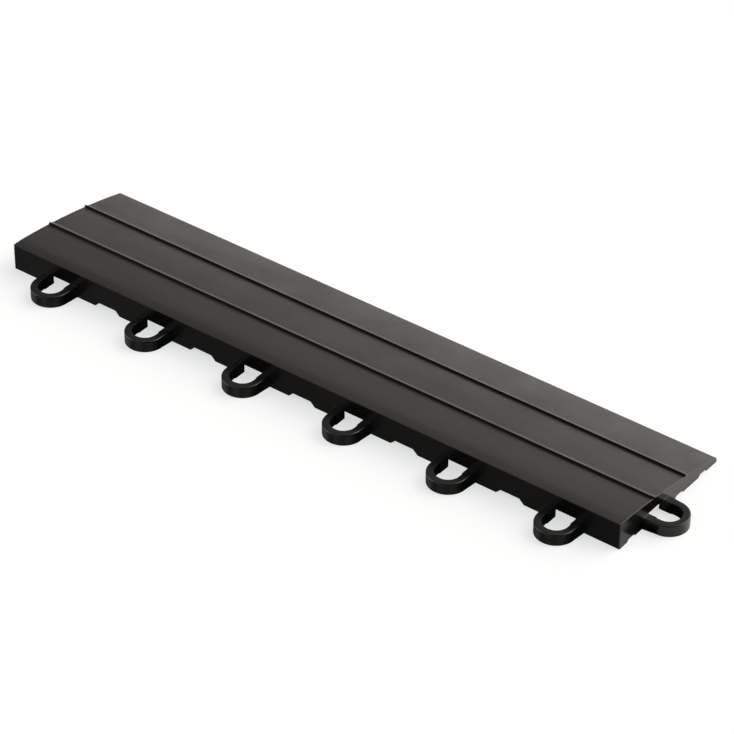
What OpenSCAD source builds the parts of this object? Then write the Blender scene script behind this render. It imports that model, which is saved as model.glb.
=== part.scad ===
// Edge ramp for a floor of interlocking tiles: one black moulding with a wedge section.
// The tall edge carries open connector loops that lie under the neighbouring tile and take its pegs.
// The right end has one more loop, and the left end a split peg, so that ramps join end to end.
// Every region of the moulding is a closed solid that meets its neighbours on flat faces.
// X runs along the tile edge, Y from the tall edge to the thin edge, Z up from the floor.
// The origin is the centre of the whole footprint, loops included, at floor level.

/* [Ramp] */
// Distance from one edge loop to the next; the ramp is six of these long
loop_pitch = 50.8; // [46:0.1:60]
// Width of the ramp from the tall edge to the thin edge, without the loops
width = 68.4; // [66:0.1:76]
// Height of the tall edge
height = 12.1; // [11:0.1:13]
// Thickness of the thin edge
toe_h = 1.9; // [1.6:0.1:2.2]
// Width of the level strip along the tall edge
land_w = 4.5; // [3:0.1:6]
// How far the curved top rises above a straight slope
crown = 1.5; // [1:0.1:1.8]

/* [Walls and ribs] */
// Thickness of the top skin
skin_t = 2.0; // [1.6:0.1:2.2]
// Thickness of the top skin where it meets the thin edge
toe_skin_t = 1.4; // [1.2:0.1:1.6]
// Thickness of the outer walls
wall_t = 1.8; // [1.4:0.1:2]
// Thickness of the ribs below the skin
rib_t = 1.6; // [1.2:0.1:1.8]
// Width of the solid lip along the thin edge
toe_w = 5.4; // [4.6:0.1:6]
// Distance from one long rib to the next
bay_w = 16.7; // [16.4:0.1:17]

/* [Grip ridges] */
// Height of the steep face of a grip ridge
ridge_h = 1.0; // [0.6:0.05:1.3]
// Width of a grip ridge at its foot
ridge_w = 2.7; // [2:0.1:3.5]
// Width taken up by the steep face
ridge_rise_w = 0.25; // [0.2:0.05:0.6]
// Distance from the tall edge to the upper ridge
upper_ridge_y = 22.3; // [19:0.1:23]
// Distance from the tall edge to the lower ridge
lower_ridge_y = 45.3; // [42:0.1:46]

/* [Connector loops] */
// Radius of the round hole in a loop
loop_ri = 5.5; // [5.4:0.05:5.6]
// Outer radius of a loop
loop_ro = 8.6; // [8.2:0.1:9]
// Half the width across a loop's two arms where they meet the wall
loop_root = 9.2; // [9.1:0.1:9.4]
// Distance from the wall face to the centre of the hole
loop_reach = 5.8; // [5.7:0.05:6]
// Height of a loop above the floor
loop_h = 5.2; // [4.6:0.1:5.4]
// Half the gap between a loop's arms next to the wall
throat_half = 5.15; // [5.15:0.05:5.25]
// How far the narrower throat runs out from the wall
throat_depth = 3.8; // [3:0.1:3.8]
// Distance from the tall edge to the centre of the end loop
end_loop_y = 24.8; // [24.5:0.1:25.2]

/* [Peg] */
// Radius of the split peg that snaps into an end loop
peg_r = 5.3; // [5.2:0.05:5.35]
// Wall thickness of the split peg
peg_wall = 1.8; // [1.4:0.1:2.2]
// Width of the slot that splits the peg
peg_slot = 1.6; // [1.2:0.1:2.4]
// Radius of the boss that the peg hangs from
peg_boss_r = 6.4; // [6:0.1:7]

/* [Drain notches] */
// Width of a large notch at the floor
notch_w = 13.1; // [10:0.1:14]
// Height of a large notch
notch_h = 2.1; // [1.6:0.1:2.6]
// Width of a small notch at the floor
small_notch_w = 5.8; // [5:0.1:8]
// Height of a small notch
small_notch_h = 1.1; // [0.8:0.1:1.8]
// How far each side of a large notch leans in
notch_lean = 2.2; // [1:0.1:2.6]
// How far each side of a small notch leans in
small_notch_lean = 1.1; // [0.8:0.1:2]

/* [Hidden] */

plastic = [0.13, 0.13, 0.13];
loop_count = 6;
length = loop_count * loop_pitch;
loop_length = loop_reach + loop_ro;
toe_y = width - toe_w;
// Overshoot of every cutting shape past the face that it cuts
over = 1;
// Facets of the round shapes
round_fn = 96;

// The curved top is an arc through the end of the level strip and the top of the thin edge
chord_y = width - land_w;
chord_z = height - toe_h;
chord = sqrt(chord_y * chord_y + chord_z * chord_z);
arc_r = (chord * chord / 4 + crown * crown) / (2 * crown);
arc_y = (land_w + width) / 2 - chord_z / chord * (arc_r - crown);
arc_z = (height + toe_h) / 2 - chord_y / chord * (arc_r - crown);
function top_z(y) = min(height, arc_z + sqrt(arc_r * arc_r - (y - arc_y) * (y - arc_y)));
// The arc is so shallow that flat strips of this width follow it to about a thousandth of a millimetre
strip_w = 2;
function arc_between(y0, y1) =
    let (strips = ceil((y1 - y0) / strip_w), step = (y1 - y0) / strips)
    [for (i = [0 : strips]) [y0 + i * step, top_z(y0 + i * step)]];

// The underside of the skin is flat between the ridges, so that walls and ribs meet it on planes
ridge_mid = ridge_w / 2;
function under_z(y, t) = top_z(y) - t;
underside = [
    [0, under_z(0, skin_t)],
    [land_w, under_z(land_w, skin_t)],
    [upper_ridge_y + ridge_mid, under_z(upper_ridge_y + ridge_mid, skin_t)],
    [lower_ridge_y + ridge_mid, under_z(lower_ridge_y + ridge_mid, skin_t)],
    [toe_y, under_z(toe_y, toe_skin_t)]
];
underside_from_toe = [for (i = [len(underside) - 1 : -1 : 0]) underside[i]];
// A ridge is let this far into the skin
ridge_seat = 0.5;
function ridge_seat_z(y) = top_z(y + ridge_w) - ridge_seat;

// Rows of long ribs, set out from the bay behind the end loop
rib_rows = [for (i = [0 : 2]) end_loop_y + (i - 0.5) * bay_w];
// Columns of cross ribs, halfway between the loops and the large notches
cross_step = loop_pitch / 2;
cross_columns = [for (x = [cross_step / 2 : cross_step : length]) x];

// Pocket that takes the next ramp's end loop, with the peg inside it
pocket_gap = 0.4;
pocket_half = loop_root + pocket_gap;
pocket_depth = loop_length + 3 * pocket_gap;
pocket_low_y = end_loop_y - pocket_half - rib_t;
pocket_high_y = end_loop_y + pocket_half + rib_t;
pocket_back_x = pocket_depth + rib_t;
mouth_h = loop_h + 0.3;
peg_shoulder_z = loop_h + pocket_gap;
peg_tip_z = 0.4;
peg_chamfer = 0.6;

// Gaps along Y that a cross rib spans, beside the pocket and along the rest of the ramp
pocket_bays = [
    [wall_t, pocket_low_y],
    [pocket_high_y, rib_rows[2] - rib_t / 2],
    [rib_rows[2] + rib_t / 2, toe_y]
];
open_bays = [
    [wall_t, rib_rows[0] - rib_t / 2],
    [rib_rows[0] + rib_t / 2, rib_rows[1] - rib_t / 2],
    [rib_rows[1] + rib_t / 2, rib_rows[2] - rib_t / 2],
    [rib_rows[2] + rib_t / 2, toe_y]
];
// Centres of the small notches along Y, one for each row of bays; the end loop takes the second
notch_rows = [for (i = [-1 : 2]) end_loop_y + i * bay_w];
outer_notch_rows = [notch_rows[0], notch_rows[2], notch_rows[3]];

// Moves the ramp from its lower left corner to the centre of the footprint
module placed() {
    translate([-(length + loop_length) / 2, (loop_length - width) / 2, 0]) children();
}

// Sweeps an outline drawn in Y and Z along X
module along_x(x, w) {
    translate([x, 0, 0]) rotate([90, 0, 90]) linear_extrude(w) children();
}

// Everything between the floor and the underside of the skin, cut to a box
module under_skin(x, y, w, d) {
    intersection() {
        translate([x, y, 0]) cube([w, d, height]);
        along_x(x - over, w + 2 * over) polygon(concat([[toe_y, 0], [0, 0]], underside));
    }
}

// Drain notch seen along Y, centred on x
module notch_through_y(x, y, d, w, h, lean) {
    slope = lean / h;
    translate([x, y + d + over, 0]) rotate([90, 0, 0]) linear_extrude(d + 2 * over)
        polygon([
            [-w / 2 - slope * over, -over], [w / 2 + slope * over, -over],
            [w / 2 - lean, h], [-w / 2 + lean, h]
        ]);
}

// Drain notch seen along X, centred on y
module small_notch_through_x(x, y, t) {
    slope = small_notch_lean / small_notch_h;
    foot = small_notch_w / 2 + slope * over;
    top = small_notch_w / 2 - small_notch_lean;
    along_x(x - over, t + 2 * over)
        polygon([
            [y - foot, -over], [y + foot, -over],
            [y + top, small_notch_h], [y - top, small_notch_h]
        ]);
}

// Seat in the skin for one grip ridge
module ridge_groove(y) {
    translate([-over, y, ridge_seat_z(y)]) cube([length + 2 * over, ridge_w, height]);
}

module deck() {
    color(plastic) placed() difference() {
        along_x(0, length)
            polygon(concat([[0, height]], arc_between(land_w, toe_y), underside_from_toe));
        ridge_groove(upper_ridge_y);
        ridge_groove(lower_ridge_y);
    }
}

// Saw-tooth ridge: steep towards the tall edge, easing back into the slope behind it
module grip_ridge(y) {
    crest = top_z(y) + ridge_h;
    color(plastic) placed() along_x(0, length)
        polygon([
            [y, ridge_seat_z(y)],
            [y + ridge_w, ridge_seat_z(y)],
            [y + ridge_w, top_z(y + ridge_w)],
            [y + ridge_rise_w, crest],
            [y, top_z(y)]
        ]);
}

// Opening between a loop's arms, cut through the wall behind them
module throat_cut(t) {
    translate([-throat_half, -over, -over]) cube([2 * throat_half, t + 2 * over, loop_h + over]);
}

module tall_wall() {
    color(plastic) placed() difference() {
        under_skin(0, 0, length, wall_t);
        for (i = [1 : loop_count - 1])
            notch_through_y(i * loop_pitch, 0, wall_t, notch_w, notch_h, notch_lean);
        for (i = [1 : loop_count])
            translate([(i - 0.5) * loop_pitch, 0, 0]) throat_cut(wall_t);
    }
}

module toe_lip() {
    color(plastic) placed() along_x(0, length)
        polygon(concat([[width, 0], [toe_y, 0]], arc_between(toe_y, width)));
}

module right_end_wall() {
    color(plastic) placed() difference() {
        under_skin(length - wall_t, wall_t, wall_t, toe_y - wall_t);
        translate([length, end_loop_y, 0]) rotate([0, 0, 90]) throat_cut(wall_t);
        for (y = outer_notch_rows) small_notch_through_x(length - wall_t, y, wall_t);
    }
}

module left_end_wall() {
    color(plastic) placed() difference() {
        under_skin(0, wall_t, wall_t, toe_y - wall_t);
        translate([-over, end_loop_y - pocket_half, -over])
            cube([wall_t + 2 * over, 2 * pocket_half, mouth_h + over]);
        for (y = outer_notch_rows) small_notch_through_x(0, y, wall_t);
    }
}

// Connector loop on a wall along X; it reaches out towards -Y
module connector_loop() {
    difference() {
        union() {
            intersection() {
                translate([0, -loop_reach, 0]) cylinder(r = loop_ro, h = loop_h, $fn = round_fn);
                translate([-loop_ro - over, -loop_length - over, 0])
                    cube([2 * (loop_ro + over), loop_length + over, loop_h]);
            }
            linear_extrude(loop_h)
                polygon([[-loop_root, 0], [-loop_ro, -loop_reach], [loop_ro, -loop_reach], [loop_root, 0]]);
        }
        translate([0, -loop_reach, -over]) cylinder(r = loop_ri, h = loop_h + 2 * over, $fn = round_fn);
        translate([-loop_ri, -loop_reach, -over])
            cube([2 * loop_ri, loop_reach - throat_depth, loop_h + 2 * over]);
        translate([-throat_half, -loop_reach, -over])
            cube([2 * throat_half, loop_reach + over, loop_h + 2 * over]);
    }
}

module edge_loop(i) {
    color(plastic) placed() translate([(i - 0.5) * loop_pitch, 0, 0]) connector_loop();
}

module end_loop() {
    color(plastic) placed() translate([length, end_loop_y, 0]) rotate([0, 0, 90]) connector_loop();
}

// Long rib with a drain notch in every bay; the first two start behind the peg pocket
module long_rib(row) {
    start = row < 2 ? pocket_back_x : wall_t;
    y = rib_rows[row] - rib_t / 2;
    first_notch = row < 2 ? 2 : 1;
    color(plastic) placed() difference() {
        under_skin(start, y, length - wall_t - start, rib_t);
        for (i = [first_notch : 2 * loop_count - 1])
            notch_through_y(i * cross_step, y, rib_t, small_notch_w, small_notch_h, small_notch_lean);
    }
}

// One short rib for each bay in each column
module cross_ribs() {
    color(plastic) placed() for (x = cross_columns)
        for (bay = x < pocket_depth ? pocket_bays : open_bays)
            difference() {
                under_skin(x - rib_t / 2, bay[0], rib_t, bay[1] - bay[0]);
                small_notch_through_x(x - rib_t / 2, (bay[0] + bay[1]) / 2, rib_t);
            }
}

// Three-sided wall that frames the next ramp's end loop
module peg_pocket() {
    color(plastic) placed() difference() {
        under_skin(wall_t, pocket_low_y, pocket_back_x - wall_t, pocket_high_y - pocket_low_y);
        translate([wall_t - over, pocket_low_y + rib_t, -over])
            cube([pocket_depth - wall_t + over, 2 * pocket_half, height + 2 * over]);
    }
}

// Split peg that hangs from a boss under the skin and ends just clear of the floor
module lock_peg() {
    boss_cut = peg_boss_r + over;
    color(plastic) placed() {
        difference() {
            union() {
                intersection() {
                    translate([loop_reach, end_loop_y, peg_shoulder_z])
                        cylinder(r = peg_boss_r, h = height, $fn = round_fn);
                    under_skin(wall_t, end_loop_y - boss_cut, pocket_depth, 2 * boss_cut);
                }
                translate([loop_reach, end_loop_y, peg_tip_z + peg_chamfer])
                    cylinder(r = peg_r, h = peg_shoulder_z - peg_tip_z - peg_chamfer, $fn = round_fn);
                translate([loop_reach, end_loop_y, peg_tip_z])
                    cylinder(r1 = peg_r - peg_chamfer, r2 = peg_r, h = peg_chamfer, $fn = round_fn);
            }
            translate([loop_reach, end_loop_y, peg_tip_z - over])
                cylinder(r = peg_r - peg_wall, h = peg_shoulder_z - peg_tip_z + over, $fn = round_fn);
            translate([loop_reach - peg_r - over, end_loop_y - peg_slot / 2, peg_tip_z - over])
                cube([2 * (peg_r + over), peg_slot, peg_shoulder_z - peg_tip_z + over]);
        }
    }
}

deck();
grip_ridge(upper_ridge_y);  // grip_ridge_upper
grip_ridge(lower_ridge_y);  // grip_ridge_lower
tall_wall();
toe_lip();
right_end_wall();
left_end_wall();
edge_loop(1);  // edge_loop_1
edge_loop(2);  // edge_loop_2
edge_loop(3);  // edge_loop_3
edge_loop(4);  // edge_loop_4
edge_loop(5);  // edge_loop_5
edge_loop(6);  // edge_loop_6
end_loop();
long_rib(0);  // long_rib_1
long_rib(1);  // long_rib_2
long_rib(2);  // long_rib_3
cross_ribs();
peg_pocket();
lock_peg();
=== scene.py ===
import math

import bmesh
import bpy
from mathutils import Matrix, Vector


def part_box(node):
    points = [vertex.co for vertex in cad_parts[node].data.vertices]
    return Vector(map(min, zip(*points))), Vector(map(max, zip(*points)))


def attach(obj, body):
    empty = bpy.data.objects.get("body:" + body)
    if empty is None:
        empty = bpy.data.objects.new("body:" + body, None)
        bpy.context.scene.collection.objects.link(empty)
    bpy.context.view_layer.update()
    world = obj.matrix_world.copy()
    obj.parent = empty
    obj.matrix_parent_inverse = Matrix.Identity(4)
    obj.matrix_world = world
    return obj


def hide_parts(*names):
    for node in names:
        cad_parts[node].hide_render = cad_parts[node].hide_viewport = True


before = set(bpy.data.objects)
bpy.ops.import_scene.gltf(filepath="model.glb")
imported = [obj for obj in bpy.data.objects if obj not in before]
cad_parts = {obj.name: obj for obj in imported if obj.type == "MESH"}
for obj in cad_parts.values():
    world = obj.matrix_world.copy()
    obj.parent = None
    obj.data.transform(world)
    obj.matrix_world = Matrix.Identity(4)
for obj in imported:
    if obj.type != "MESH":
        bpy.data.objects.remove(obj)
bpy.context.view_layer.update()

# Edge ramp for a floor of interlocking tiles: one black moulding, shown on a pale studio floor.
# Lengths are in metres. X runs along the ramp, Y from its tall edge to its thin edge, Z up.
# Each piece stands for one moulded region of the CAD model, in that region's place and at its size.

MM = 0.001
BODY = "root"

# The ramp's faces, from the frame
DECK_LOW, DECK_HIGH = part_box("deck")
TOE_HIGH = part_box("toe_lip")[1]
LEFT, RIGHT = DECK_LOW.x, DECK_HIGH.x
FRONT, BACK = DECK_LOW.y, TOE_HIGH.y
SEAM = DECK_HIGH.y
TOP = DECK_HIGH.z

# Section of the ramp, measured from the tall edge
TOE_H = 1.9 * MM
LAND_W = 4.5 * MM
CROWN = 1.5 * MM
SKIN_T = 2.0 * MM
TOE_SKIN_T = 1.4 * MM
WALL_T = 1.8 * MM
LAND_BLEND = 0.09 * MM

# Grip ridges
RIDGE_W = 2.7 * MM
RIDGE_H = 1.0 * MM
RIDGE_RISE_W = 0.25 * MM
RIDGE_SEAT = 0.5 * MM
RIDGE_CREST_R = 0.12 * MM
RIDGE_EASE_W = 1.2 * MM

# Connector loops
LOOP_RI = 5.5 * MM
LOOP_REACH = 5.8 * MM
LOOP_RO = FRONT - LOOP_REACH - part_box("edge_loop_1")[0].y
LOOP_ROOT = 9.2 * MM
LOOP_H = 5.2 * MM
THROAT_HALF = 5.15 * MM
THROAT_DEPTH = 3.8 * MM

# Drain notches
NOTCH_W = 13.1 * MM
NOTCH_H = 2.1 * MM
NOTCH_LEAN = 2.2 * MM
SMALL_NOTCH_W = 5.8 * MM
SMALL_NOTCH_H = 1.1 * MM
SMALL_NOTCH_LEAN = 1.1 * MM

# Roundings of the moulding's edges
TALL_EDGE_R = 0.25 * MM
END_EDGE_R = 0.32 * MM
CORNER_R = 0.5 * MM
TOE_EDGE_R = 0.3 * MM
FINE_R = 0.06 * MM
TOUCH = 0.01 * MM


# ---------------------------------------------------------------- shape of the ramp

def make_arc():
    """Radius and centre of the arc from the end of the level strip to the top of the thin edge."""
    run, fall = BACK - FRONT - LAND_W, TOP - TOE_H
    chord = math.hypot(run, fall)
    radius = (chord * chord / 4 + CROWN * CROWN) / (2 * CROWN)
    drop = radius - CROWN
    centre_y = (FRONT + LAND_W + BACK) / 2 - fall / chord * drop
    centre_z = (TOP + TOE_H) / 2 - run / chord * drop
    return radius, centre_y, centre_z


ARC_R, ARC_Y, ARC_Z = make_arc()


def top_z(y):
    """Height of the top surface: level, then the arc, eased into each other."""
    arc = ARC_Z + math.sqrt(ARC_R * ARC_R - (y - ARC_Y) ** 2)
    closeness = max(LAND_BLEND - abs(arc - TOP), 0) / LAND_BLEND
    return min(arc, TOP) - closeness * closeness * LAND_BLEND / 4


def cad_top_z(y):
    """The same without the easing, as the underside of the skin is set out from it."""
    return min(TOP, ARC_Z + math.sqrt(ARC_R * ARC_R - (y - ARC_Y) ** 2))


UPPER_RIDGE_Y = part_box("grip_ridge_upper")[0].y
LOWER_RIDGE_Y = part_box("grip_ridge_lower")[0].y


def make_underside():
    """Corner points of the skin's underside, from the tall edge to the thin edge."""
    places = [FRONT, FRONT + LAND_W, UPPER_RIDGE_Y + RIDGE_W / 2, LOWER_RIDGE_Y + RIDGE_W / 2]
    points = [(y, cad_top_z(y) - SKIN_T) for y in places]
    return points + [(SEAM, cad_top_z(SEAM) - TOE_SKIN_T)]


UNDERSIDE = make_underside()


def under_z(y):
    """Height of the skin's underside."""
    for (y0, z0), (y1, z1) in zip(UNDERSIDE, UNDERSIDE[1:]):
        if y <= y1 + TOUCH:
            return z0 + (z1 - z0) * (y - y0) / (y1 - y0)
    return UNDERSIDE[-1][1]


def under_points(y0, y1):
    """Points of the underside from y0 to y1, with its corners between them."""
    between = [p for p in UNDERSIDE if y0 + TOUCH < p[0] < y1 - TOUCH]
    return [(y0, under_z(y0)), *between, (y1, under_z(y1))]


def top_points(y0, y1, step=1.0 * MM):
    """Points of the top surface from y0 to y1."""
    count = math.ceil((y1 - y0) / step)
    places = [y0 + (y1 - y0) * i / count for i in range(count + 1)]
    return [(y, top_z(y)) for y in places]


# ---------------------------------------------------------------- mesh helpers

def along_x(a, b, c):
    """A point of an outline drawn in Y and Z, at c along X."""
    return Vector((c, a, b))


def along_y(a, b, c):
    """A point of an outline drawn in X and Z, at c along Y."""
    return Vector((a, c, b))


def near(a, b):
    return abs(a - b) < TOUCH


def join_rings(bm, ring_a, ring_b):
    """Faces between two closed rings of as many vertices."""
    count = len(ring_a)
    for i in range(count):
        j = (i + 1) % count
        bm.faces.new((ring_a[i], ring_a[j], ring_b[j], ring_b[i]))


def close_ends(bm, first_ring, last_ring):
    """Closes a swept solid and turns its faces outwards."""
    bm.faces.new(first_ring[::-1])
    bm.faces.new(last_ring)
    bmesh.ops.recalc_face_normals(bm, faces=bm.faces)


def prism(outline, place, low, high):
    """A closed prism: an outline of 2-D points, swept from low to high."""
    bm = bmesh.new()
    rings = [[bm.verts.new(place(a, b, c)) for a, b in outline] for c in (low, high)]
    join_rings(bm, *rings)
    close_ends(bm, *rings)
    return bm


def make_piece(name, bm, material, nodes):
    """Turns a bmesh into a named piece that stands for CAD nodes."""
    mesh = bpy.data.meshes.new(name)
    bm.to_mesh(mesh)
    bm.free()
    piece = bpy.data.objects.new(name, mesh)
    bpy.context.scene.collection.objects.link(piece)
    mesh.materials.append(material)
    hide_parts(*nodes)
    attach(piece, BODY)
    return piece


def apply_modifiers(piece):
    """Replaces a piece's mesh by what its modifiers make of it."""
    graph = bpy.context.evaluated_depsgraph_get()
    done = bpy.data.meshes.new_from_object(piece.evaluated_get(graph))
    piece.modifiers.clear()
    piece.data = done


SHARP_ANGLE = math.radians(40)
ROUND_ANGLE = math.radians(25)
ROUND_STEPS = 4


def finish_shading(piece):
    """Smooth shading that keeps flat faces flat and true corners sharp."""
    piece.data.shade_smooth()
    piece.data.set_sharp_from_angle(angle=SHARP_ANGLE)
    weighted = piece.modifiers.new("weighted", "WEIGHTED_NORMAL")
    weighted.keep_sharp = True
    apply_modifiers(piece)


def round_edges(piece, radius_of):
    """Rounds each convex edge by the radius that radius_of gives for its two ends.
    The bevel's width is the widest radius, and each edge's weight is its share of it."""
    bm = bmesh.new()
    bm.from_mesh(piece.data)
    weights = bm.edges.layers.float.new("bevel_weight_edge")
    wanted = {}
    for edge in bm.edges:
        if edge.is_convex and edge.calc_face_angle(0) > ROUND_ANGLE:
            radius = radius_of(edge.verts[0].co, edge.verts[1].co)
            if radius > 0:
                wanted[edge] = radius
    widest = max(wanted.values())
    for edge, radius in wanted.items():
        edge[weights] = radius / widest
    bm.to_mesh(piece.data)
    bm.free()
    bevel = piece.modifiers.new("rounding", "BEVEL")
    bevel.limit_method = "WEIGHT"
    bevel.offset_type = "OFFSET"
    bevel.width = widest
    bevel.segments = ROUND_STEPS
    bevel.use_clamp_overlap = True
    apply_modifiers(piece)
    finish_shading(piece)


# ---------------------------------------------------------------- materials

PLASTIC_IOR = 1.49
PLASTIC_DARK = (0.0045, 0.0044, 0.0042, 1)
PLASTIC_PALE = (0.0060, 0.0058, 0.0056, 1)
FLOW_SCALE = 70
FLOW_STRETCH = (0.35, 1.0, 1.0)
FLOW_TURN = math.radians(14)
SMUDGE_SCALE = 45
SMUDGE_SPREAD = 0.06
GRAIN_SCALE = 4500
NOISE_LOW, NOISE_HIGH = 0.3, 0.7


def add_noise(tree, coordinate, scale, detail, roughness=0.5):
    noise = tree.nodes.new("ShaderNodeTexNoise")
    noise.inputs["Scale"].default_value = scale
    noise.inputs["Detail"].default_value = detail
    noise.inputs["Roughness"].default_value = roughness
    tree.links.new(coordinate, noise.inputs["Vector"])
    return noise.outputs["Fac"]


def add_range(tree, value, low, high):
    """Spreads a noise value over low to high."""
    spread = tree.nodes.new("ShaderNodeMapRange")
    spread.inputs["From Min"].default_value = NOISE_LOW
    spread.inputs["From Max"].default_value = NOISE_HIGH
    spread.inputs["To Min"].default_value = low
    spread.inputs["To Max"].default_value = high
    tree.links.new(value, spread.inputs["Value"])
    return spread.outputs["Result"]


def add_bump(tree, height, depth, normal=None):
    bump = tree.nodes.new("ShaderNodeBump")
    bump.inputs["Strength"].default_value = 1.0
    bump.inputs["Distance"].default_value = depth
    tree.links.new(height, bump.inputs["Height"])
    if normal is not None:
        tree.links.new(normal, bump.inputs["Normal"])
    return bump.outputs["Normal"]


def black_plastic(name, roughness, grain_depth, flow_depth):
    """Satin black polypropylene: faint flow marks from the mould, smudges in the gloss, fine grain."""
    material = bpy.data.materials.new(name)
    material.use_nodes = True
    tree = material.node_tree
    shader = tree.nodes["Principled BSDF"]
    shader.inputs["IOR"].default_value = PLASTIC_IOR
    place = tree.nodes.new("ShaderNodeTexCoord").outputs["Object"]

    flow_place = tree.nodes.new("ShaderNodeMapping")
    flow_place.inputs["Scale"].default_value = FLOW_STRETCH
    flow_place.inputs["Rotation"].default_value = (0, 0, FLOW_TURN)
    tree.links.new(place, flow_place.inputs["Vector"])
    flow = add_noise(tree, flow_place.outputs["Vector"], FLOW_SCALE, 4)
    smudge = add_noise(tree, place, SMUDGE_SCALE, 5, 0.6)
    grain = add_noise(tree, place, GRAIN_SCALE, 2)

    # A colour mix has its factor in socket 0, its two colours in 6 and 7, and its result in output 2
    colour = tree.nodes.new("ShaderNodeMix")
    colour.data_type = "RGBA"
    colour.inputs[6].default_value = PLASTIC_DARK
    colour.inputs[7].default_value = PLASTIC_PALE
    tree.links.new(add_range(tree, flow, 0, 1), colour.inputs[0])
    tree.links.new(colour.outputs[2], shader.inputs["Base Color"])

    smudged = add_range(tree, smudge, roughness - SMUDGE_SPREAD, roughness + SMUDGE_SPREAD)
    tree.links.new(smudged, shader.inputs["Roughness"])
    waves = add_bump(tree, flow, flow_depth)
    tree.links.new(add_bump(tree, grain, grain_depth, waves), shader.inputs["Normal"])
    return material


TOP_PLASTIC = black_plastic("plastic_top", 0.42, grain_depth=0.005 * MM, flow_depth=0.17 * MM)
SIDE_PLASTIC = black_plastic("plastic_side", 0.20, grain_depth=0.005 * MM, flow_depth=0.04 * MM)
LOOP_PLASTIC = black_plastic("plastic_loop", 0.24, grain_depth=0.006 * MM, flow_depth=0.04 * MM)
UNDER_PLASTIC = black_plastic("plastic_under", 0.40, grain_depth=0.008 * MM, flow_depth=0.03 * MM)

FINISHES = [TOP_PLASTIC, SIDE_PLASTIC, UNDER_PLASTIC]
FACING_LIMIT = 0.6


def finish_for(face):
    """The top's finish on faces that look up, the dull one on those that look down, else the sides'."""
    if face.normal.z > FACING_LIMIT:
        return TOP_PLASTIC
    if face.normal.z < -FACING_LIMIT:
        return UNDER_PLASTIC
    return SIDE_PLASTIC


def paint_by_facing(piece):
    """Gives each face the finish for the way it looks."""
    mesh = piece.data
    mesh.materials.clear()
    for material in FINISHES:
        mesh.materials.append(material)
    for face in mesh.polygons:
        face.material_index = FINISHES.index(finish_for(face))


# ---------------------------------------------------------------- top: deck, ridges, thin edge

def at_end(a, b):
    """True for an edge that lies in one of the ramp's two end faces."""
    return any(near(a.x, x) and near(b.x, x) for x in (LEFT, RIGHT))


def on_top(p):
    return p.z > top_z(p.y) - TOUCH


def on_top_end(a, b):
    """True for an edge where the top surface meets an end face."""
    return at_end(a, b) and on_top(a) and on_top(b)


def ridge_seat_z(y):
    """Height of the flat seat in the deck on which a ridge stands."""
    return cad_top_z(y + RIDGE_W) - RIDGE_SEAT


def deck_outline():
    """Section of the top skin in Y and Z, with the seats of the two ridges."""
    points = []
    start = FRONT
    for ridge in (UPPER_RIDGE_Y, LOWER_RIDGE_Y):
        seat = ridge_seat_z(ridge)
        points += top_points(start, ridge)
        points += [(ridge, seat), (ridge + RIDGE_W, seat)]
        start = ridge + RIDGE_W
    points += top_points(start, SEAM)
    return points + UNDERSIDE[::-1]


def deck_radius(a, b):
    """Rounding of the deck's edge from a to b: the tall edge, the upright corners and the top's ends."""
    if near(a.y, FRONT) and near(b.y, FRONT):
        if near(a.z, TOP) and near(b.z, TOP):
            return TALL_EDGE_R
        return CORNER_R if at_end(a, b) else 0
    return END_EDGE_R if on_top_end(a, b) else 0


def make_deck():
    bm = prism(deck_outline(), along_x, LEFT, RIGHT)
    piece = make_piece("deck_skin", bm, TOP_PLASTIC, ["deck"])
    round_edges(piece, deck_radius)
    paint_by_facing(piece)


CREST_STEPS = 5
EASE_STEPS = 4


def rounded_corner(before, corner, after, radius, steps):
    """Points of a 2-D corner rounded to a radius."""
    back, ahead = (before - corner).normalized(), (after - corner).normalized()
    half = back.angle(ahead) / 2
    centre = corner + (back + ahead).normalized() * radius / math.sin(half)
    start = corner + back * radius / math.tan(half) - centre
    end = corner + ahead * radius / math.tan(half) - centre
    return [centre + start.lerp(end, i / steps).normalized() * radius for i in range(steps + 1)]


def ridge_outline(y):
    """Saw-tooth in Y and Z: a steep face, a small rounded crest and a slope that eases into the deck."""
    seat = ridge_seat_z(y)
    foot = Vector((y, top_z(y)))
    crest = Vector((y + RIDGE_RISE_W, foot.y + RIDGE_H))
    end_y, ease_y = y + RIDGE_W, y + RIDGE_W - RIDGE_EASE_W
    end, bend = Vector((end_y, top_z(end_y))), Vector((ease_y, top_z(ease_y)))
    ease_start = bend + (crest - bend).normalized() * RIDGE_EASE_W
    points = [Vector((y, seat)), foot, *rounded_corner(foot, crest, bend, RIDGE_CREST_R, CREST_STEPS)]
    for i in range(EASE_STEPS + 1):
        share = i / EASE_STEPS
        points.append(ease_start.lerp(bend, share).lerp(bend.lerp(end, share), share))
    return points + [Vector((end_y, seat))]


def ridge_radius(a, b):
    return END_EDGE_R / 2 if on_top_end(a, b) else 0


def make_ridge(name, node, y):
    bm = prism(ridge_outline(y), along_x, LEFT, RIGHT)
    piece = make_piece(name, bm, TOP_PLASTIC, [node])
    round_edges(piece, ridge_radius)
    paint_by_facing(piece)


def toe_radius(a, b):
    if near(a.y, BACK) and near(b.y, BACK):
        return TOE_EDGE_R if not at_end(a, b) and a.z > TOUCH else FINE_R
    return END_EDGE_R if on_top_end(a, b) else 0


def make_toe():
    outline = [(SEAM, 0), *top_points(SEAM, BACK), (BACK, 0)]
    piece = make_piece("toe_edge", prism(outline, along_x, LEFT, RIGHT), TOP_PLASTIC, ["toe_lip"])
    round_edges(piece, toe_radius)
    paint_by_facing(piece)


# ---------------------------------------------------------------- walls with notches

EDGE_LOOPS = ["edge_loop_%d" % (i + 1) for i in range(6)]


def middle(node):
    low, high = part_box(node)
    return (low + high) / 2


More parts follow.
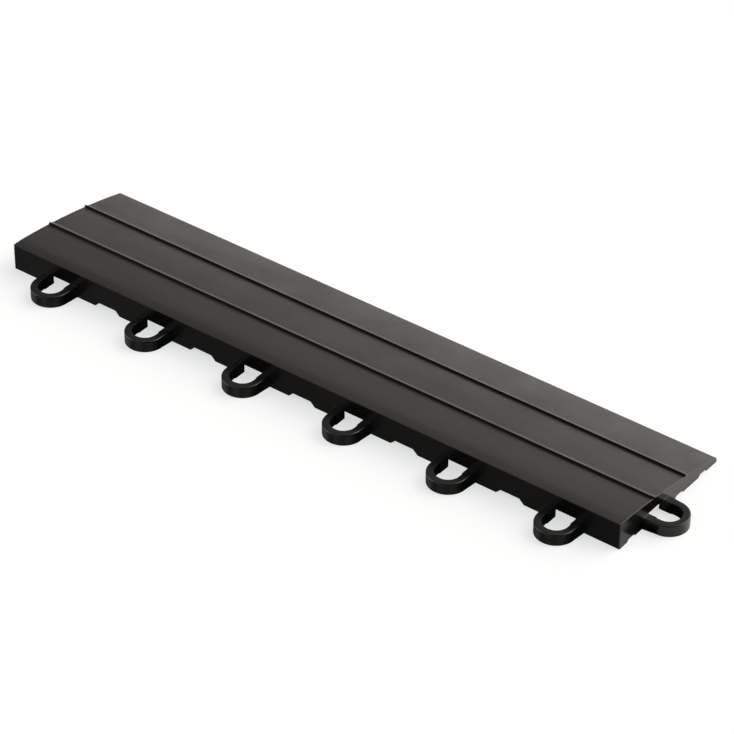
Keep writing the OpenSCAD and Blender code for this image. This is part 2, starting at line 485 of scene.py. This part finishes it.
LOOP_XS = [middle(name).x for name in EDGE_LOOPS]
END_LOOP_Y = middle("end_loop").y
ROW_STEP = middle("long_rib_2").y - middle("long_rib_1").y
NOTCH_ROWS = [END_LOOP_Y + i * ROW_STEP for i in (-1, 0, 1, 2)]


def notch(centre, width, height, lean):
    """The four corners of a drain notch, from left to right."""
    return [(centre - width / 2, 0), (centre - width / 2 + lean, height),
            (centre + width / 2 - lean, height), (centre + width / 2, 0)]


def large_notch(x):
    return notch(x, NOTCH_W, NOTCH_H, NOTCH_LEAN)


def small_notch(centre):
    return notch(centre, SMALL_NOTCH_W, SMALL_NOTCH_H, SMALL_NOTCH_LEAN)


def throat(centre, half=THROAT_HALF, height=LOOP_H):
    return [(centre - half, 0), (centre - half, height), (centre + half, height), (centre + half, 0)]


def tall_wall_outline():
    cuts = [throat(x) for x in LOOP_XS]
    cuts += [large_notch((a + b) / 2) for a, b in zip(LOOP_XS, LOOP_XS[1:])]
    foot = [p for cut in sorted(cuts) for p in cut]
    roof = under_z(FRONT)
    return [(LEFT, 0), *foot, (RIGHT, 0), (RIGHT, roof), (LEFT, roof)]


def in_throat(p, centres, along):
    """True beside a loop's arms, where the wall and the arm share a face.
    along(p) is the point's place along the wall."""
    return any(near(abs(along(p) - c), THROAT_HALF) for c in centres)


def tall_wall_radius(a, b):
    roof = under_z(FRONT)
    on_roof = near(a.z, roof) and near(b.z, roof)
    on_face = near(a.y, FRONT) and near(b.y, FRONT)
    if on_roof or not on_face:
        return 0
    if at_end(a, b):
        return CORNER_R
    beside_arm = near(a.x, b.x) and in_throat(a, LOOP_XS, lambda p: p.x)
    return 0 if beside_arm else FINE_R


def make_tall_wall():
    bm = prism(tall_wall_outline(), along_y, FRONT, FRONT + WALL_T)
    piece = make_piece("tall_side", bm, SIDE_PLASTIC, ["tall_wall"])
    round_edges(piece, tall_wall_radius)


def end_wall_outline(gap):
    """Section of an end wall in Y and Z, with three small notches and one gap at the loop."""
    loop_row = 1
    cuts = [small_notch(row) for i, row in enumerate(NOTCH_ROWS) if i != loop_row] + [gap]
    foot = [p for cut in sorted(cuts) for p in cut]
    start = FRONT + WALL_T
    return [(start, 0), *foot, (SEAM, 0), *under_points(start, SEAM)[::-1]]


def end_wall_radius(a, b, outer_x):
    on_face = near(a.x, outer_x) and near(b.x, outer_x)
    on_roof = a.z > under_z(a.y) - TOUCH and b.z > under_z(b.y) - TOUCH
    at_side = near(a.y, b.y) and (near(a.y, FRONT + WALL_T) or near(a.y, SEAM))
    beside_arm = near(a.y, b.y) and in_throat(a, [END_LOOP_Y], lambda p: p.y)
    return FINE_R if on_face and not (on_roof or at_side or beside_arm) else 0


POCKET_GAP = 0.4 * MM
POCKET_HALF = LOOP_ROOT + POCKET_GAP
MOUTH_H = LOOP_H + 0.3 * MM


def make_end_walls():
    bm = prism(end_wall_outline(throat(END_LOOP_Y)), along_x, RIGHT - WALL_T, RIGHT)
    piece = make_piece("right_end_side", bm, SIDE_PLASTIC, ["right_end_wall"])
    round_edges(piece, lambda a, b: end_wall_radius(a, b, RIGHT))
    mouth = throat(END_LOOP_Y, POCKET_HALF, MOUTH_H)
    bm = prism(end_wall_outline(mouth), along_x, LEFT, LEFT + WALL_T)
    piece = make_piece("left_end_side", bm, SIDE_PLASTIC, ["left_end_wall"])
    round_edges(piece, lambda a, b: end_wall_radius(a, b, LEFT))


# ---------------------------------------------------------------- connector loops

LOOP_TOP_R = 0.6 * MM
LOOP_INNER_R = 0.2 * MM
EDGE_ROOT_R = 0.06 * MM
END_ROOT_R = 0.2 * MM
STEP_HALF = 0.05 * MM
RING_STEPS = 48


def root_rise(out, radius):
    """How far the fillet at the wall stands up at a distance out from the wall."""
    left = max(radius - max(out, 0), 0)
    return radius - math.sqrt(radius ** 2 - left ** 2)


# Distances out from the wall at which an arm has a section: close together in the root's fillet,
# then apart, with a pair at the step where the throat ends
ROOT_OUTS = [-FINE_R, 0, 0.02 * MM, 0.05 * MM, 0.1 * MM, 0.2 * MM]
ARM_OUTS = [0.8 * MM, 1.6 * MM, 2.6 * MM, THROAT_DEPTH - STEP_HALF, THROAT_DEPTH + STEP_HALF, 4.8 * MM]


def arm_station(out, root_r):
    inner = THROAT_HALF if out < THROAT_DEPTH else LOOP_RI
    outer = LOOP_ROOT + (LOOP_RO - LOOP_ROOT) * max(out, 0) / LOOP_REACH
    return (inner, out), (outer, out), root_rise(out, root_r)


def ring_station(turn):
    across, out = math.cos(turn), math.sin(turn)
    inner = (LOOP_RI * across, LOOP_REACH + LOOP_RI * out)
    outer = (LOOP_RO * across, LOOP_REACH + LOOP_RO * out)
    return inner, outer, 0.0


def loop_stations(root_r):
    """Stations from one root round the loop to the other, as inner point, outer point, rise.
    A point is (across, out): across the loop's width, and out from the wall."""
    arm = [arm_station(out, root_r) for out in ROOT_OUTS + ARM_OUTS]
    ring = [ring_station(math.pi * i / RING_STEPS) for i in range(RING_STEPS + 1)]
    mirrored = [((-a[0], a[1]), (-b[0], b[1]), rise) for a, b, rise in reversed(arm)]
    return arm + ring + mirrored


def rounded_section(width, height):
    """Closed section of a loop as (share from inner to outer, height) points."""
    corners = [(0, 0, FINE_R, 180, 270, 2), (width, 0, FINE_R, 270, 360, 2),
               (width, height, LOOP_TOP_R, 0, 90, 6), (0, height, LOOP_INNER_R, 90, 180, 3)]
    points = []
    for along, up, radius, start, end, steps in corners:
        centre_a = along + (radius if along == 0 else -radius)
        centre_u = up + (radius if up == 0 else -radius)
        for i in range(steps + 1):
            turn = math.radians(start + (end - start) * i / steps)
            points.append(((centre_a + radius * math.cos(turn)) / width,
                           centre_u + radius * math.sin(turn)))
    return points


def make_loop(name, node, root_r, place):
    """place(across, out, up) gives a point of the loop in the frame."""
    bm = bmesh.new()
    rings = []
    for inner, outer, rise in loop_stations(root_r):
        inner, outer = Vector(inner), Vector(outer)
        section = rounded_section((outer - inner).length, LOOP_H + rise)
        ring = []
        for share, up in section:
            across, out = inner.lerp(outer, share)
            ring.append(bm.verts.new(place(across, out, up)))
        rings.append(ring)
    for ring_a, ring_b in zip(rings, rings[1:]):
        join_rings(bm, ring_a, ring_b)
    close_ends(bm, rings[0], rings[-1])
    piece = make_piece(name, bm, LOOP_PLASTIC, [node])
    finish_shading(piece)


def make_loops():
    for node, x in zip(EDGE_LOOPS, LOOP_XS):
        make_loop(node + "_ring", node, EDGE_ROOT_R,
                  lambda across, out, up, x=x: Vector((x + across, FRONT - out, up)))
    make_loop("end_loop_ring", "end_loop", END_ROOT_R,
              lambda across, out, up: Vector((RIGHT + out, END_LOOP_Y + across, up)))


# ---------------------------------------------------------------- underside

def make_underside_ribs():
    for node in ("long_rib_1", "long_rib_2", "long_rib_3", "cross_ribs", "peg_pocket", "lock_peg"):
        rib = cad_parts[node]
        rib.data.materials.clear()
        rib.data.materials.append(UNDER_PLASTIC)


# ---------------------------------------------------------------- stage

CAMERA_AT = Vector((0.69546, -0.92786, 0.86403))
CAMERA_TURN = math.radians(36.652)
CAMERA_DOWN = math.radians(36.540)
CAMERA_ROLL = math.radians(0.579)
CAMERA_LENS_MM = 175.86
SENSOR_MM = 36.0


def make_camera():
    data = bpy.data.cameras.new("camera")
    data.lens = CAMERA_LENS_MM
    data.sensor_width = SENSOR_MM
    data.clip_start = 0.05
    data.clip_end = 50
    camera = bpy.data.objects.new("camera", data)
    bpy.context.scene.collection.objects.link(camera)
    turn = Matrix.Rotation(CAMERA_TURN, 4, "Z")
    tilt = Matrix.Rotation(math.pi / 2 - CAMERA_DOWN, 4, "X")
    roll = Matrix.Rotation(CAMERA_ROLL, 4, "Z")
    camera.matrix_world = Matrix.Translation(CAMERA_AT) @ turn @ tilt @ roll
    bpy.context.scene.camera = camera


FLOOR_SIZE = 8.0
FLOOR_DROP = 0.1 * MM
FLOOR_SHADE = 0.36
FLOOR_GLOW = 0.66
FLOOR_TINT = (0.97, 0.99, 1.0)
SHEET_ROUGHNESS = 0.9
WHITE = (1, 1, 1)
CARD_SIZE = 0.5
WHITE_CARD_DROP = 0.3 * MM
# The black cards are painted shadow: near-black sheets, seen only in the gloss, where the floor lies in
# the loops' shade.
PAINTED_SHADOW_CARD_DROP = 0.15 * MM
PAINTED_SHADOW_CARD_TONE = 0.02


def sheet_material(name, shade, glow, glow_tint):
    material = bpy.data.materials.new(name)
    material.use_nodes = True
    shader = material.node_tree.nodes["Principled BSDF"]
    shader.inputs["Base Color"].default_value = (shade, shade, shade, 1)
    shader.inputs["Roughness"].default_value = SHEET_ROUGHNESS
    shader.inputs["Emission Color"].default_value = (*glow_tint, 1)
    shader.inputs["Emission Strength"].default_value = glow
    return material


def make_sheet(name, low, high, drop, shade, glow, glow_tint=WHITE):
    """A flat sheet of the studio set between two points in X and Y, just below the ramp's foot."""
    bm = bmesh.new()
    bmesh.ops.create_grid(bm, x_segments=1, y_segments=1, size=0.5)
    mesh = bpy.data.meshes.new(name)
    bm.to_mesh(mesh)
    bm.free()
    mesh.materials.append(sheet_material(name, shade, glow, glow_tint))
    sheet = bpy.data.objects.new(name, mesh)
    sheet.location = ((low[0] + high[0]) / 2, (low[1] + high[1]) / 2, -drop)
    sheet.scale = (high[0] - low[0], high[1] - low[1], 1)
    bpy.context.scene.collection.objects.link(sheet)
    return sheet


def make_floor():
    """The floor shows to the camera alone. The ramp's gloss comes from the glows and the cards."""
    half = FLOOR_SIZE / 2
    floor = make_sheet("floor", (-half, -half), (half, half), FLOOR_DROP,
                       FLOOR_SHADE, FLOOR_GLOW, FLOOR_TINT)
    floor.visible_glossy = False
    floor.visible_diffuse = False
    floor.visible_shadow = False


def make_card(name, low, high, drop, shade, glow):
    """A card that shows in the gloss of the walls and the loops alone."""
    card = make_sheet(name, low, high, drop, shade, glow)
    card.visible_camera = False
    card.visible_diffuse = False


# The white cards glow as a painted reflection of a brightly lit floor beside the right end.
def make_white_card(name, low, high, shade, glow):
    make_card(name, low, high, WHITE_CARD_DROP, shade, glow)


# Painted shadow: a near-black card that the walls and the loops mirror as shaded floor.
def make_painted_shadow_card(name, low, high):
    make_card(name, low, high, PAINTED_SHADOW_CARD_DROP, PAINTED_SHADOW_CARD_TONE, 0)


def make_cards():
    """Glowing white cards on the floor beside the right end, and black cards of painted shadow inside the
    loops and beside the end loop, where the floor lies in shade.
    """
    # Painted reflection: the cards glow so that the end wall and the end loop mirror a lit floor; the near
    # card glows less and is greyer, as painted shade on the floor in front of the end loop.
    make_white_card("near_card", (RIGHT, FRONT - CARD_SIZE), (RIGHT + CARD_SIZE, END_LOOP_Y),
                    shade=0.6, glow=0.115)
    make_white_card("far_card", (RIGHT, END_LOOP_Y), (RIGHT + CARD_SIZE, BACK + CARD_SIZE),
                    shade=0.8, glow=0.2)
    hole_out = LOOP_REACH + LOOP_RI
    hole_near, hole_far = END_LOOP_Y - LOOP_RI, END_LOOP_Y + LOOP_RI
    # Painted shadow under the end loop's hole and in front of its near arm, and inside each edge loop.
    make_painted_shadow_card("black_card_end", (RIGHT, hole_near), (RIGHT + hole_out, hole_far))
    make_painted_shadow_card("black_card_side", (RIGHT, hole_near - LOOP_ROOT), (RIGHT + LOOP_REACH, hole_near))
    for i, x in enumerate(LOOP_XS):
        make_painted_shadow_card("black_card_%d" % (i + 1), (x - LOOP_RI, FRONT - hole_out), (x + LOOP_RI, FRONT))


# Soft light from all round, as broad glows: turn from +Y towards +X, height above the horizon, strength
GLOWS = [
    (18, 15, 4.0),
    (45, 42, 5.0),
    (234, 15, 2.6),
    (342, 15, 1.3),
    (324, -15, 1.28),
    (252, -15, 0.70),
    (180, -15, 0.72),
    (120, -45, 0.33),
    (45, 70, 0.35),
    (205, 50, 0.5),
    (0, 88, 0.5),
]
GLOW_GATHER = 12.0
AMBIENT = 0.01
LIGHT_TINT = (1.0, 0.965, 0.92)


def direction_of(turn_deg, height_deg):
    turn, height = math.radians(turn_deg), math.radians(height_deg)
    return (math.sin(turn) * math.cos(height), math.cos(turn) * math.cos(height), math.sin(height))


def add_maths(tree, operation, *values):
    """A maths node. Each value is a number or another node's output."""
    node = tree.nodes.new("ShaderNodeMath")
    node.operation = operation
    for socket, value in zip(node.inputs, values):
        if isinstance(value, (int, float)):
            socket.default_value = value
        else:
            tree.links.new(value, socket)
    return node.outputs[0]


def add_dot(tree, direction, fixed_direction):
    dot = tree.nodes.new("ShaderNodeVectorMath")
    dot.operation = "DOT_PRODUCT"
    dot.inputs[1].default_value = fixed_direction
    tree.links.new(direction, dot.inputs[0])
    return dot.outputs["Value"]


def make_world():
    """A studio in which each glow brightens the directions round its own."""
    world = bpy.data.worlds.new("studio")
    world.use_nodes = True
    bpy.context.scene.world = world
    tree = world.node_tree
    direction = tree.nodes.new("ShaderNodeTexCoord").outputs["Generated"]
    total = AMBIENT
    for turn_deg, height_deg, strength in GLOWS:
        ahead = add_maths(tree, "MAXIMUM", add_dot(tree, direction, direction_of(turn_deg, height_deg)), 0)
        lobe = add_maths(tree, "POWER", ahead, GLOW_GATHER)
        total = add_maths(tree, "MULTIPLY_ADD", lobe, strength, total)
    background = tree.nodes["Background"]
    background.inputs["Color"].default_value = (*LIGHT_TINT, 1)
    tree.links.new(total, background.inputs["Strength"])


SOFTBOX_SIZE = 1.6
SOFTBOX_POWER = 2
SOFTBOX_HEIGHT = 1.8


def make_lights():
    data = bpy.data.lights.new("overhead_softbox", "AREA")
    data.shape = "DISK"
    data.size = SOFTBOX_SIZE
    data.energy = SOFTBOX_POWER
    data.color = LIGHT_TINT
    light = bpy.data.objects.new("overhead_softbox", data)
    light.location = (0, 0, SOFTBOX_HEIGHT)
    bpy.context.scene.collection.objects.link(light)


make_camera()
make_deck()
make_ridge("grip_ridge_upper_bar", "grip_ridge_upper", UPPER_RIDGE_Y)
make_ridge("grip_ridge_lower_bar", "grip_ridge_lower", LOWER_RIDGE_Y)
make_toe()
make_tall_wall()
make_end_walls()
make_loops()
make_underside_ribs()
make_floor()
make_cards()
make_world()
make_lights()
bpy.context.scene.view_settings.view_transform = "Standard"
